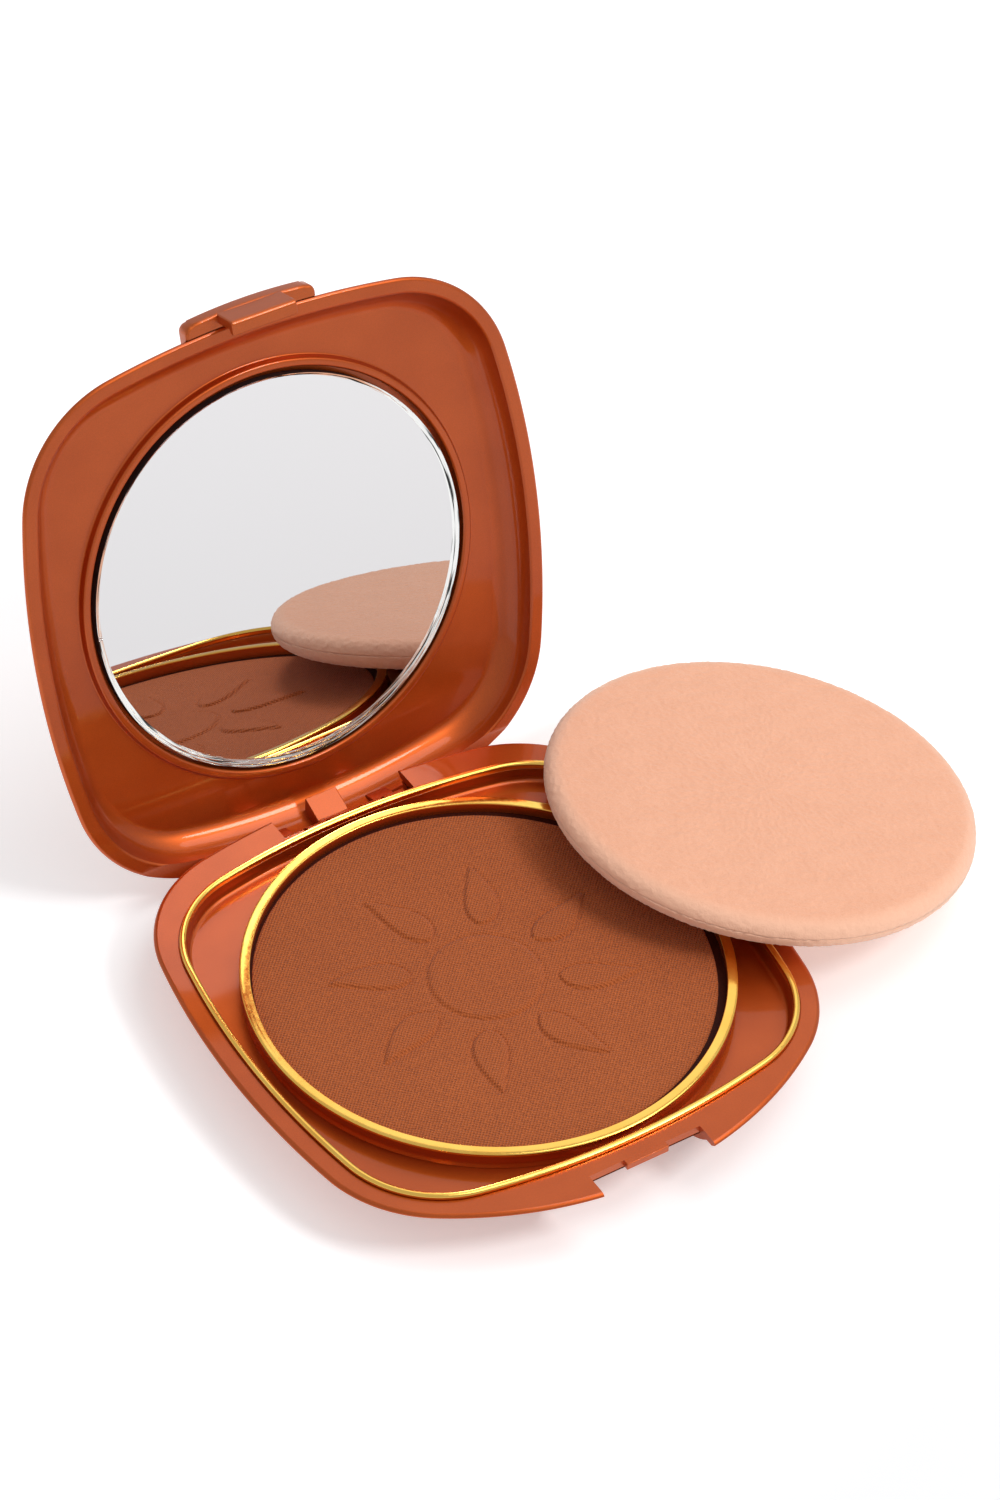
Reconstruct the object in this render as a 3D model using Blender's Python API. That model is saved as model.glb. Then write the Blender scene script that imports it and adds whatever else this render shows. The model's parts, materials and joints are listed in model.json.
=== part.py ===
"""Pressed powder compact, lid open, with its puff leaning on the right-hand rim.

Metres, +Z up. The origin is the middle of the flat foot, +Y runs to the hinge,
-Y to the latch, and +X to the side where the puff lies.

The base and the lid are rounded squares, drawn as arcs and skinned from stacked
rings. The lid is modelled closed and its empty turns it open. The puff is
modelled flat, over the powder, and its empty swings it out to where it lies.
"""

import math

import bmesh
import bpy
from mathutils import Matrix, Vector
from mathutils.geometry import intersect_sphere_sphere_2d

MM = 0.001

# Outline of the closed compact, seen from above.
HALF_WIDTH = 36.72 * MM
SIDE_RADIUS = 110.5 * MM
HALF_BACK = 37.4 * MM
BACK_RADIUS = 114.8 * MM
BASE_HALF_FRONT = 38.8 * MM
BASE_FRONT_RADIUS = 50.0 * MM
LID_HALF_FRONT = 36.0 * MM
LID_FRONT_RADIUS = 123.5 * MM
CORNER_RADIUS = 17.66 * MM

# Line of the gold bead inside the base's rim band.
BEAD_HALF_WIDTH = 33.52 * MM
BEAD_SIDE_RADIUS = 107.8 * MM
BEAD_HALF_BACK = 32.43 * MM
BEAD_HALF_FRONT = 32.26 * MM
BEAD_CORNER_RADIUS = 14.2 * MM
BEAD_HALF_THICKNESS = 0.33 * MM

# Heights in the base.
BASE_RIM_Z = 8.3 * MM
BEAD_TOP_Z = 9.0 * MM
TRAY_FLOOR_Z = 6.3 * MM
RING_TOP_Z = 8.9 * MM
POWDER_TOP_Z = 7.4 * MM
PAN_FLOOR_Z = 5.1 * MM

# Round pieces in the base.
RING_RADIUS = 31.0 * MM
RING_BORE_RADIUS = 29.7 * MM
WELL_RADIUS = 29.9 * MM
PAN_RADIUS = 29.4 * MM
POWDER_RADIUS = 28.9 * MM
GLUE_RADIUS = 14.0 * MM
GLUE_Z = 4.475 * MM
GLUE_HALF_THICKNESS = 0.12 * MM

# Latch recess in the base's front, and the nub that the lid's hook passes.
RECESS_HALF_WIDTH = 8.0 * MM
RECESS_Y = -34.7 * MM
NUB_HALF_WIDTH = 3.0 * MM
NUB_Y = -35.5 * MM

# Hinge.
HINGE_Y = 34.0 * MM
HINGE_Z = 5.8 * MM
LID_OPEN_DEG = 107.1
PIN_RADIUS = 0.5 * MM
PIN_BORE_RADIUS = 0.7 * MM
KNUCKLE_RADIUS = 1.3 * MM
NOTCH_HALF_WIDTH = 9.6 * MM
NOTCH_Y = 32.95 * MM
CENTRE_KNUCKLE = (-2.3 * MM, 2.3 * MM)
BASE_KNUCKLE = (2.7 * MM, 5.6 * MM)
OUTER_KNUCKLE = (6.0 * MM, 9.1 * MM)
RELIEF_RADIUS = 4.45 * MM
RELIEF_HALF_WIDTH = 30.0 * MM

# Heights in the closed lid.
LID_RIM_Z = 9.78 * MM
LID_FLOOR_Z = 13.8 * MM
RIDGE_Z = 12.85 * MM
MIRROR_Z = 13.15 * MM
MIRROR_THICKNESS = 1.2 * MM
MIRROR_RADIUS = 26.67 * MM
MIRROR_Y = 0.25 * MM
TAPE_RADIUS = 24.0 * MM
LID_TOP_Z = 17.6 * MM
LID_RIM_WIDTH = 1.95 * MM

# Puff: a foam disc between two velour faces, as thick as when it is fully pressed.
# The places are those of the middle of its underside.
PUFF_RADIUS = 28.3 * MM
PUFF_THICKNESS = 2.4 * MM
PUFF_EDGE = 0.5 * MM
VELOUR_THICKNESS = 0.55 * MM
PUFF_GAP = 0.12 * MM
PUFF_STORED_Z = 10.15 * MM
PUFF_LEAN_DEG = 9.5
PUFF_REST = Vector((46.03, 7.42, 8.04)) * MM

# Corners per quarter of an outline: side arc, corner arc, end arc.
ARC_STEPS = (4, 5, 4)
CIRCLE_STEPS = 48
GAP = 0.3 * MM
HAIRLINE = 0.02 * MM


# -- Helpers ------------------------------------------------------------------


def material(name, colour, roughness, metallic=0.0):
    """A Principled material, made once for each name."""
    found = bpy.data.materials.get(name)
    if found:
        return found
    made = bpy.data.materials.new(name)
    made.use_nodes = True
    shader = made.node_tree.nodes["Principled BSDF"]
    shader.inputs["Base Color"].default_value = (*colour, 1.0)
    shader.inputs["Roughness"].default_value = roughness
    shader.inputs["Metallic"].default_value = metallic
    return made


def quarter(half_x, side_radius, half_y, end_radius, corner_radius):
    """One quarter of a rounded square as (arc centre, direction, arc radius)."""
    side = Vector((half_x - side_radius, 0.0))
    end = Vector((0.0, half_y - end_radius))
    hits = intersect_sphere_sphere_2d(
        side, side_radius - corner_radius, end, end_radius - corner_radius
    )
    corner = max(hits, key=lambda hit: hit.x + hit.y)
    first = math.atan2(*(corner - side).yx)
    second = math.atan2(*(corner - end).yx)
    arcs = (
        (side, side_radius, 0.0, first, ARC_STEPS[0]),
        (corner, corner_radius, first, second, ARC_STEPS[1]),
        (end, end_radius, second, math.pi / 2, ARC_STEPS[2]),
    )
    points = []
    for centre, radius, start, stop, steps in arcs:
        for step in range(steps):
            angle = start + (stop - start) * step / steps
            points.append((centre, Vector((math.cos(angle), math.sin(angle))), radius))
    points.append((end, Vector((0.0, 1.0)), end_radius))
    return points


def mirrored(points, x_sign, y_sign):
    signs = Vector((x_sign, y_sign))
    return [(centre * signs, way * signs, radius) for centre, way, radius in points]


def outline(half_x, side_radius, back, back_radius, front, front_radius, corner_radius):
    """A whole rounded square, counter-clockwise from +X."""
    rear = quarter(half_x, side_radius, back, back_radius, corner_radius)
    fore = quarter(half_x, side_radius, front, front_radius, corner_radius)
    return (
        rear
        + mirrored(rear, -1, 1)[-2::-1]
        + mirrored(fore, -1, -1)[1:]
        + mirrored(fore, 1, -1)[-2:0:-1]
    )


def inset_ring(shape, inset, z):
    """The outline moved inwards by inset, at height z."""
    ring = []
    for centre, way, radius in shape:
        point = centre + way * (radius - inset)
        ring.append(Vector((point.x, point.y, z)))
    return ring


def matched_circle(shape, radius, z, y=0.0):
    """A circle with one point in line with each point of the outline."""
    ring = []
    for centre, way, arc_radius in shape:
        point = (centre + way * arc_radius).normalized() * radius
        ring.append(Vector((point.x, point.y + y, z)))
    return ring


def circle(radius, z, y=0.0, steps=CIRCLE_STEPS):
    angles = (math.tau * step / steps for step in range(steps))
    return [Vector((radius * math.cos(a), radius * math.sin(a) + y, z)) for a in angles]


def skin(name, rings, finish, tube=False):
    """One closed solid through the rings: capped at both ends, or a closed tube."""
    bm = bmesh.new()
    loops = [[bm.verts.new(point) for point in ring] for ring in rings]
    pairs = list(zip(loops, loops[1:]))
    if tube:
        pairs.append((loops[-1], loops[0]))
    else:
        bm.faces.new(loops[0])
        bm.faces.new(loops[-1])
    for low, high in pairs:
        for here in range(len(low)):
            there = (here + 1) % len(low)
            bm.faces.new((low[here], low[there], high[there], high[here]))
    bmesh.ops.recalc_face_normals(bm, faces=bm.faces)
    mesh = bpy.data.meshes.new(name)
    bm.to_mesh(mesh)
    bm.free()
    mesh.shade_smooth()
    mesh.set_sharp_from_angle(angle=math.radians(35))
    if finish:
        mesh.materials.append(finish)
    obj = bpy.data.objects.new(name, mesh)
    bpy.context.scene.collection.objects.link(obj)
    return obj


def prism(name, profile, x_low, x_high, finish=None):
    """A profile of (y, z) points, drawn out along X."""
    rings = [[Vector((x, y, z)) for y, z in profile] for x in (x_low, x_high)]
    return skin(name, rings, finish)


def block(name, low, high):
    (x0, y0, z0), (x1, y1, z1) = low, high
    return prism(name, [(y0, z0), (y1, z0), (y1, z1), (y0, z1)], x0, x1)


def rod(name, radius, x_low, x_high, steps=16, finish=None):
    """A round bar along the hinge axis."""
    angles = [math.tau * step / steps for step in range(steps)]
    profile = [
        (HINGE_Y + radius * math.cos(a), HINGE_Z + radius * math.sin(a)) for a in angles
    ]
    return prism(name, profile, x_low, x_high, finish)


def combine(obj, tool, operation):
    """Cuts with, or adds, a hidden tool object."""
    boolean = obj.modifiers.new(f"{operation.lower()}_{tool.name}", "BOOLEAN")
    boolean.operation = operation
    boolean.solver = "EXACT"
    boolean.object = tool
    tool.hide_render = True
    tool.display_type = "WIRE"


def cut(obj, tool):
    combine(obj, tool, "DIFFERENCE")


def add(obj, tool):
    combine(obj, tool, "UNION")


def empty(name, location, rotation=None):
    holder = bpy.data.objects.new(name, None)
    bpy.context.scene.collection.objects.link(holder)
    holder.matrix_world = Matrix.Translation(location) @ (rotation or Matrix())
    return holder


def hang(holder, origin, *pieces):
    """Gives the pieces their origin at the joint, and hangs them on its empty."""
    for piece in pieces:
        piece.data.transform(Matrix.Translation(-origin))
        piece.parent = holder


# -- Base ---------------------------------------------------------------------


def base_outline():
    return outline(
        HALF_WIDTH, SIDE_RADIUS, HALF_BACK, BACK_RADIUS,
        BASE_HALF_FRONT, BASE_FRONT_RADIUS, CORNER_RADIUS,
    )


def bead_outline():
    return outline(
        BEAD_HALF_WIDTH, BEAD_SIDE_RADIUS, BEAD_HALF_BACK, BEAD_SIDE_RADIUS,
        BEAD_HALF_FRONT, BEAD_SIDE_RADIUS, BEAD_CORNER_RADIUS,
    )


def finger_scoop(name, wall):
    """Wedge cut under the latch recess, leaning in below the rim."""
    top, foot = RECESS_Y + wall, -29.3 * MM + wall
    profile = [
        (-45 * MM, 1.2 * MM + wall),
        (foot, 1.2 * MM + wall),
        (top, 7.0 * MM),
        (top, 8.0 * MM),
        (-45 * MM, 8.0 * MM),
    ]
    half = RECESS_HALF_WIDTH + wall
    return prism(name, profile, -half, half)


def make_base_shell(finish):
    """The domed lower shell, a dish with a flat foot."""
    shape = base_outline()
    outside = ((11.0, 0.0), (8.0, 0.6), (5.0, 2.2), (1.05, 6.95))
    inside = ((9.0, 1.2), (6.4, 2.4), (2.35, 6.95), (1.9, 7.5))
    shell = skin(
        "base_shell", [inset_ring(shape, d * MM, z * MM) for d, z in outside], finish
    )
    hollow = skin(
        "shell_hollow", [inset_ring(shape, d * MM, z * MM) for d, z in inside], None
    )
    cut(shell, finger_scoop("scoop", 0.0))
    cut(hollow, finger_scoop("scoop_wall", 0.9 * MM))
    cut(shell, hollow)
    half = NOTCH_HALF_WIDTH
    notch = block("shell_notch", (-half, 32.4 * MM, 3.6 * MM), (half, 45 * MM, 8 * MM))
    cut(shell, notch)
    return shell


def tray_rings():
    """The tray's section, from under the pan's well, round the rim, to the well's floor."""
    rim = base_outline()
    bead = bead_outline()
    seat = BEAD_HALF_THICKNESS
    return [
        matched_circle(rim, 29.3 * MM, 3.35 * MM),
        matched_circle(rim, 30.5 * MM, 4.55 * MM),
        matched_circle(rim, 30.5 * MM, TRAY_FLOOR_Z - 1.0 * MM),
        inset_ring(bead, 1.0 * MM, TRAY_FLOOR_Z - 1.0 * MM),
        inset_ring(bead, -seat, 6.7 * MM),
        inset_ring(bead, -seat, BASE_RIM_Z - 1.05 * MM),
        inset_ring(rim, 0.8 * MM, BASE_RIM_Z - 1.05 * MM),
        inset_ring(rim, 0.0, BASE_RIM_Z - 0.15 * MM),
        inset_ring(rim, 0.15 * MM, BASE_RIM_Z),
        inset_ring(bead, -seat - 0.12 * MM, BASE_RIM_Z),
        inset_ring(bead, -seat - 0.12 * MM, BASE_RIM_Z - 0.2 * MM),
        inset_ring(bead, seat, BASE_RIM_Z - 0.2 * MM),
        inset_ring(bead, seat + 0.15 * MM, 7.0 * MM),
        inset_ring(bead, 0.8 * MM, 6.45 * MM),
        inset_ring(bead, 1.15 * MM, TRAY_FLOOR_Z),
        matched_circle(rim, WELL_RADIUS, TRAY_FLOOR_Z),
        matched_circle(rim, WELL_RADIUS, 4.9 * MM),
        matched_circle(rim, 29.0 * MM, 4.15 * MM),
    ]


def make_inner_tray(finish):
    """Rim band, tray floor and pan well in one moulding, with the hinge's two ears."""
    tray = skin("inner_tray", tray_rings(), finish)
    half = NOTCH_HALF_WIDTH
    cut(tray, block("tray_notch", (-half, NOTCH_Y, 2 * MM), (half, 45 * MM, 12 * MM)))
    half = RECESS_HALF_WIDTH
    cut(tray, block("recess", (-half, -45 * MM, 2 * MM), (half, RECESS_Y, 12 * MM)))
    nub_low = BASE_RIM_Z - 1.0 * MM
    half = NUB_HALF_WIDTH
    add(tray, block("nub", (-half, NUB_Y, nub_low), (half, -34 * MM, BASE_RIM_Z - HAIRLINE)))
    for side in (-1, 1):
        low, high = sorted(side * x for x in BASE_KNUCKLE)
        add(tray, ear(f"ear_{side:+d}", low, high))
    cut(tray, rod("tray_bore", PIN_BORE_RADIUS, -NOTCH_HALF_WIDTH, NOTCH_HALF_WIDTH))
    return tray


def ear(name, x_low, x_high):
    """A base knuckle: round about the pin, with a web forward to the tray's wall."""
    steps = 10
    arc = [math.pi * (0.5 - step / steps) for step in range(steps + 1)]
    profile = [
        (HINGE_Y + KNUCKLE_RADIUS * math.cos(a), HINGE_Z + KNUCKLE_RADIUS * math.sin(a))
        for a in arc
    ]
    web_y = BEAD_HALF_BACK - 0.6 * MM
    profile += [(web_y, HINGE_Z - KNUCKLE_RADIUS + 1.2 * MM), (web_y, HINGE_Z + KNUCKLE_RADIUS)]
    return prism(name, profile, x_low, x_high)


def make_tray_trim(finish):
    """Gold bead that follows the inner edge of the rim band."""
    bead = bead_outline()
    half = BEAD_HALF_THICKNESS
    section = (
        (-half, BASE_RIM_Z + HAIRLINE),
        (-half, BEAD_TOP_Z - 0.22 * MM),
        (-half * 0.4, BEAD_TOP_Z),
        (half * 0.4, BEAD_TOP_Z),
        (half, BEAD_TOP_Z - 0.22 * MM),
        (half, BASE_RIM_Z + HAIRLINE),
    )
    return skin("tray_trim", [inset_ring(bead, d, z) for d, z in section], finish, tube=True)


def make_pan_ring(finish):
    """Gold collar that stands round the powder."""
    edge = 0.25 * MM
    section = (
        (RING_RADIUS, TRAY_FLOOR_Z + GAP),
        (RING_RADIUS, RING_TOP_Z - edge),
        (RING_RADIUS - edge, RING_TOP_Z),
        (RING_BORE_RADIUS + edge, RING_TOP_Z),
        (RING_BORE_RADIUS, RING_TOP_Z - edge),
        (RING_BORE_RADIUS, TRAY_FLOOR_Z + GAP),
    )
    return skin("pan_ring", [circle(r, z) for r, z in section], finish, tube=True)


def make_powder_pan(finish):
    """Pressed aluminium pan, a shallow dish with a rounded foot."""
    wall = 0.3 * MM
    section = (
        (PAN_RADIUS - 0.9 * MM, PAN_FLOOR_Z - wall),
        (PAN_RADIUS, PAN_FLOOR_Z + 0.4 * MM),
        (PAN_RADIUS, POWDER_TOP_Z - 0.2 * MM),
        (PAN_RADIUS - wall, POWDER_TOP_Z - 0.2 * MM),
        (PAN_RADIUS - wall, PAN_FLOOR_Z + 0.5 * MM),
        (PAN_RADIUS - 1.1 * MM, PAN_FLOOR_Z),
    )
    return skin("powder_pan", [circle(r, z) for r, z in section], finish)


def make_powder_cake(finish):
    floor = PAN_FLOOR_Z + 0.2 * MM
    section = (
        (POWDER_RADIUS - 0.8 * MM, floor),
        (POWDER_RADIUS, floor + 0.6 * MM),
        (POWDER_RADIUS, POWDER_TOP_Z - 0.15 * MM),
        (POWDER_RADIUS - 0.2 * MM, POWDER_TOP_Z),
    )
    return skin("powder_cake", [circle(r, z) for r, z in section], finish)


def make_pan_glue(finish):
    """Flattened disc of hot-melt glue between the pan and its well."""
    section = (
        (GLUE_RADIUS - 0.4 * MM, GLUE_Z - GLUE_HALF_THICKNESS),
        (GLUE_RADIUS, GLUE_Z),
        (GLUE_RADIUS - 0.4 * MM, GLUE_Z + GLUE_HALF_THICKNESS),
    )
    return skin("pan_glue", [circle(r, z, steps=24) for r, z in section], finish)


def make_hinge_pin(finish):
    reach = OUTER_KNUCKLE[1] + 0.2 * MM
    return rod("hinge_pin", PIN_RADIUS, -reach, reach, steps=12, finish=finish)


# -- Lid, modelled closed -----------------------------------------------------


def lid_outline():
    return outline(
        HALF_WIDTH, SIDE_RADIUS, HALF_BACK, BACK_RADIUS,
        LID_HALF_FRONT, LID_FRONT_RADIUS, CORNER_RADIUS,
    )


def lid_frame_rings():
    """The frame's section, from behind the mirror, round the rim, to the mirror's pocket."""
    shape = lid_outline()
    back = LID_FLOOR_Z + 0.8 * MM
    outside = ((5.2, back / MM), (5.2, 15.1), (3.9, 15.1), (2.5, 13.78), (0.7, 10.9), (0.0, 9.98))
    rim = LID_RIM_WIDTH / MM
    inside = (
        (0.15, LID_RIM_Z / MM), (rim, LID_RIM_Z / MM), (2.2, 10.4), (2.9, 12.0),
        (3.7, 13.2), (4.5, 13.7), (5.3, LID_FLOOR_Z / MM),
    )
    pocket = (
        (28.3, LID_FLOOR_Z), (28.1, RIDGE_Z), (27.2, RIDGE_Z), (27.0, RIDGE_Z + GAP),
        (27.0, MIRROR_Z + MIRROR_THICKNESS + 0.5 * MM),
    )
    rings = [matched_circle(shape, 27.7 * MM, z, MIRROR_Y) for z in (15.5 * MM, back)]
    rings += [inset_ring(shape, d * MM, z * MM) for d, z in outside + inside]
    rings += [matched_circle(shape, r * MM, z, MIRROR_Y) for r, z in pocket]
    return rings


def lid_arm(name, x_low, x_high):
    """A lid knuckle with its arm up to the lid's rear wall."""
    steps = 10
    arc = [math.pi * (1.0 + step / steps) for step in range(steps + 1)]
    profile = [
        (HINGE_Y + KNUCKLE_RADIUS * math.cos(a), HINGE_Z + KNUCKLE_RADIUS * math.sin(a))
        for a in arc
    ]
    profile += [(36.3 * MM, 10.6 * MM), (34.4 * MM, 12.6 * MM), (33.3 * MM, 12.4 * MM)]
    profile += [(33.3 * MM, 7.4 * MM)]
    return prism(name, profile, x_low, x_high)


def make_lid_frame(finish):
    """Rim, walls, floor and mirror pocket in one moulding, with the hinge's three arms."""
    frame = skin("lid_frame", lid_frame_rings(), finish)
    cut(frame, rod("rear_relief", RELIEF_RADIUS, -RELIEF_HALF_WIDTH, RELIEF_HALF_WIDTH, steps=40))
    low, high = OUTER_KNUCKLE
    spans = (CENTRE_KNUCKLE, (low, high), (-high, -low))
    for number, (x_low, x_high) in enumerate(spans):
        add(frame, lid_arm(f"arm_{number}", x_low, x_high))
    cut(frame, rod("lid_bore", PIN_BORE_RADIUS, -NOTCH_HALF_WIDTH, NOTCH_HALF_WIDTH))
    return frame


def make_lid_cover(finish):
    """Domed plate over the frame."""
    shape = lid_outline()
    outside = ((15.0, LID_TOP_Z / MM), (11.0, 17.2), (7.2, 16.5), (4.15, 15.4))
    inside = ((5.4, 15.4), (7.2, 15.9), (11.0, 16.5), (15.0, 16.8))
    return skin(
        "lid_cover", [inset_ring(shape, d * MM, z * MM) for d, z in outside + inside], finish
    )


def make_mirror(finish):
    """Glass disc with a bevelled face edge."""
    back = MIRROR_Z + MIRROR_THICKNESS
    section = (
        (MIRROR_RADIUS - 0.8 * MM, MIRROR_Z),
        (MIRROR_RADIUS, MIRROR_Z + 0.3 * MM),
        (MIRROR_RADIUS, back),
    )
    return skin("mirror_glass", [circle(r, z, MIRROR_Y) for r, z in section], finish)


def make_mirror_tape(finish):
    low = MIRROR_Z + MIRROR_THICKNESS + 0.15 * MM
    return skin(
        "mirror_tape",
        [circle(TAPE_RADIUS, z, MIRROR_Y, steps=24) for z in (low, low + 0.2 * MM)],
        finish,
    )


def make_latch_tab(finish):
    """Thumb bar on the lid's front edge, with the hook that drops into the recess."""
    bar_half, corner = 9.2 * MM, 1.1 * MM
    inner, outer = -LID_HALF_FRONT - GAP, -38.1 * MM
    plan = [
        (bar_half, inner), (-bar_half, inner), (-bar_half, outer + corner),
        (corner - bar_half, outer), (bar_half - corner, outer), (bar_half, outer + corner),
    ]
    rings = [[Vector((x, y, z * MM)) for x, y in plan] for z in (9.35, 12.2)]
    tab = skin("latch_tab", rings, finish)
    hook_profile = [
        (-38.05 * MM, 9.6 * MM), (-38.05 * MM, 6.7 * MM), (-37.75 * MM, 6.4 * MM),
        (-35.85 * MM, 6.4 * MM), (-35.85 * MM, 7.1 * MM), (-36.4 * MM, 7.4 * MM),
        (-36.4 * MM, 9.6 * MM),
    ]
    add(tab, prism("hook", hook_profile, -4.6 * MM, 4.6 * MM))
    return tab


# -- Puff, modelled flat over the powder --------------------------------------


def puff_layer(name, z_low, z_high, low_inset, high_inset, finish):
    section = (
        (PUFF_RADIUS - low_inset, z_low),
        (PUFF_RADIUS - min(low_inset, high_inset) / 2, (z_low + z_high) / 2),
        (PUFF_RADIUS - high_inset, z_high),
    )
    return skin(name, [circle(r, z) for r, z in section], finish)


def make_puff(velour, foam):
    low = PUFF_STORED_Z
    top = low + PUFF_THICKNESS
    under = low + VELOUR_THICKNESS
    over = top - VELOUR_THICKNESS
    return (
        puff_layer("puff_lower_velour", low, under, PUFF_EDGE, 0.0, velour),
        puff_layer("puff_foam", under + PUFF_GAP, over - PUFF_GAP, 0.0, 0.0, foam),
        puff_layer("puff_upper_velour", over, top, 0.0, PUFF_EDGE, velour),
    )


def swing():
    """Pivot, axis and place of the puff's swing from over the powder to where it lies."""
    stored = Vector((0.0, 0.0, PUFF_STORED_Z))
    chord = PUFF_REST - stored
    way = Vector((chord.x, chord.y, 0.0)).normalized()
    axis = Vector((-way.y, way.x, 0.0))
    reach = chord.length / 2 / math.tan(math.radians(PUFF_LEAN_DEG) / 2)
    pivot = stored + chord / 2 - chord.normalized().cross(axis) * reach
    return pivot, axis


# -- Assembly -----------------------------------------------------------------


def build():
    for obj in list(bpy.data.objects):
        bpy.data.objects.remove(obj)
    bronze = material("bronze_plastic", (0.52, 0.15, 0.05), 0.32, 0.35)
    gold = material("gold_plate", (0.86, 0.56, 0.18), 0.12, 1.0)
    aluminium = material("pan_aluminium", (0.75, 0.75, 0.76), 0.35, 1.0)
    powder = material("pressed_powder", (0.38, 0.14, 0.06), 0.9)
    glue = material("hot_melt", (0.85, 0.82, 0.70), 0.6)
    steel = material("pin_steel", (0.62, 0.62, 0.64), 0.25, 1.0)
    mirror = material("mirror_silver", (0.9, 0.9, 0.9), 0.02, 1.0)
    tape = material("foam_tape", (0.9, 0.9, 0.88), 0.8)
    velour = material("puff_velour", (0.90, 0.50, 0.33), 0.95)
    foam = material("puff_foam_rubber", (0.93, 0.68, 0.52), 0.9)

    make_base_shell(bronze)
    make_inner_tray(bronze)
    make_tray_trim(gold)
    make_pan_ring(gold)
    make_powder_pan(aluminium)
    make_powder_cake(powder)
    make_pan_glue(glue)
    make_hinge_pin(steel)

    hinge = Vector((0.0, HINGE_Y, HINGE_Z))
    opened = Matrix.Rotation(-math.radians(LID_OPEN_DEG), 4, "X")
    lid_axis = empty("lid_axis", hinge, opened)
    lid_frame = make_lid_frame(bronze)
    lid_pieces = [
        lid_frame, make_lid_cover(bronze), make_mirror(mirror),
        make_mirror_tape(tape), make_latch_tab(bronze),
    ]
    tools = [m.object for piece in lid_pieces for m in piece.modifiers]
    hang(lid_axis, hinge, *lid_pieces, *tools)

    pivot, axis = swing()
    turned = Matrix.Rotation(math.radians(PUFF_LEAN_DEG), 4, axis)
    hang(empty("puff_axis", pivot, turned), pivot, *make_puff(velour, foam))


build()
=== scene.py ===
"""Looks of an open powder compact, with its puff leaning on the right-hand rim.

The base and the lid are rounded squares skinned from stacked rings, like the CAD solids,
with finer steps and softened edges. Lengths are in millimetres up to the point where a
mesh is made, and in metres on the stage. Lid pieces are drawn closed and the puff is drawn
lying over the powder; each is then placed where its CAD body rests.
"""

import json
import math

import bmesh
import bpy
import numpy as np
from mathutils import Matrix, Vector, noise


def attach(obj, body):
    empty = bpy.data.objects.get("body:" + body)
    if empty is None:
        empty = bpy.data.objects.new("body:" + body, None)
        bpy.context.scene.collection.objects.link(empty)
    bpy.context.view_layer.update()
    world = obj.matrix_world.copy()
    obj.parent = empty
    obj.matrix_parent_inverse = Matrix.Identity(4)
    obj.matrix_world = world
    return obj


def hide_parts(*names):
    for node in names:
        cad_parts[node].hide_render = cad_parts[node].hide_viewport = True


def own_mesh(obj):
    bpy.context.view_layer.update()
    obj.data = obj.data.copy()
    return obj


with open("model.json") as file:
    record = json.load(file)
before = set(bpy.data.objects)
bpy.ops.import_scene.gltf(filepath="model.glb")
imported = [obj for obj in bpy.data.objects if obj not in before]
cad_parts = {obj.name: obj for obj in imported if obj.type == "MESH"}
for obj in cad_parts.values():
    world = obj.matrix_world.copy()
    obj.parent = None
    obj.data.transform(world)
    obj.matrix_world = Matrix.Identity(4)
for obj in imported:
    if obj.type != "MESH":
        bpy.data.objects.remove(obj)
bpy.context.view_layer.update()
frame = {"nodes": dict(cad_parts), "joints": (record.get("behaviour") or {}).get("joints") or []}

MM = 0.001

# Outlines: half width, side radius, half back, back radius, half front, front radius, corner.
BASE = (36.72, 110.5, 37.4, 114.8, 38.8, 50.0, 17.66)
LID = (36.72, 110.5, 37.4, 114.8, 36.0, 123.5, 17.66)
BEAD = (33.52, 107.8, 32.43, 107.8, 32.26, 107.8, 14.2)
ARC_STEPS = (26, 34, 26)

# Base: tray heights, gold bead, latch recess and finger scoop.
RIM_Z = 8.3
FLOOR_Z = 6.3
BEAD_TOP_Z = 9.0
BEAD_HALF = 0.43
LATCH_WALL_Y = -34.7
RECESS_HALF = 8.0
SCOOP_HALF = 10.5
SCOOP_TOP_Z = 7.0
SCOOP_FOOT_Y = -29.3
SCOOP_FOOT_Z = 1.2
SCOOP_LEAN = (SCOOP_FOOT_Y - LATCH_WALL_Y) / (SCOOP_TOP_Z - SCOOP_FOOT_Z)

# Collar, the ledge inside it, painted dark as shade, and the powder, which lies a little to the
# left.
RING_TOP_Z = 8.9
COLLAR_OUTSIDE = 31.0
COLLAR_INSIDE = 29.65
LEDGE_OUTSIDE = 29.72
LEDGE_INSIDE = 28.4
LEDGE_Z = (7.22, 7.29)
PAN_INSIDE = 29.25
POWDER_RADIUS = 28.98
POWDER_TOP_Z = 7.4
POWDER_SHIFT = (-0.33, 0.23, 0.0)

# Sun in relief on the powder.
SUN_RADIUS = 7.3
RAYS = 8
RAY_START = 9.2
RAY_LENGTH = 10.6
RAY_HALF = 2.5

# Closed lid, and the mirror in its pocket.
LID_RIM_Z = 9.78
LID_FLOOR_Z = 13.8
RIDGE_Z = 12.85
MIRROR_Z = 13.15
MIRROR_THICKNESS = 1.2
MIRROR_RADIUS = 26.67
MIRROR_Y = 0.25
MIRROR_TILT = (0.004, 0.030, -1.0)
MIRROR_SLACK = 0.3
BEVEL_WIDTH = 0.75
BEVEL_SHIFT = (0.18, 0.52)
BEVEL_RISE = 0.12

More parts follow.
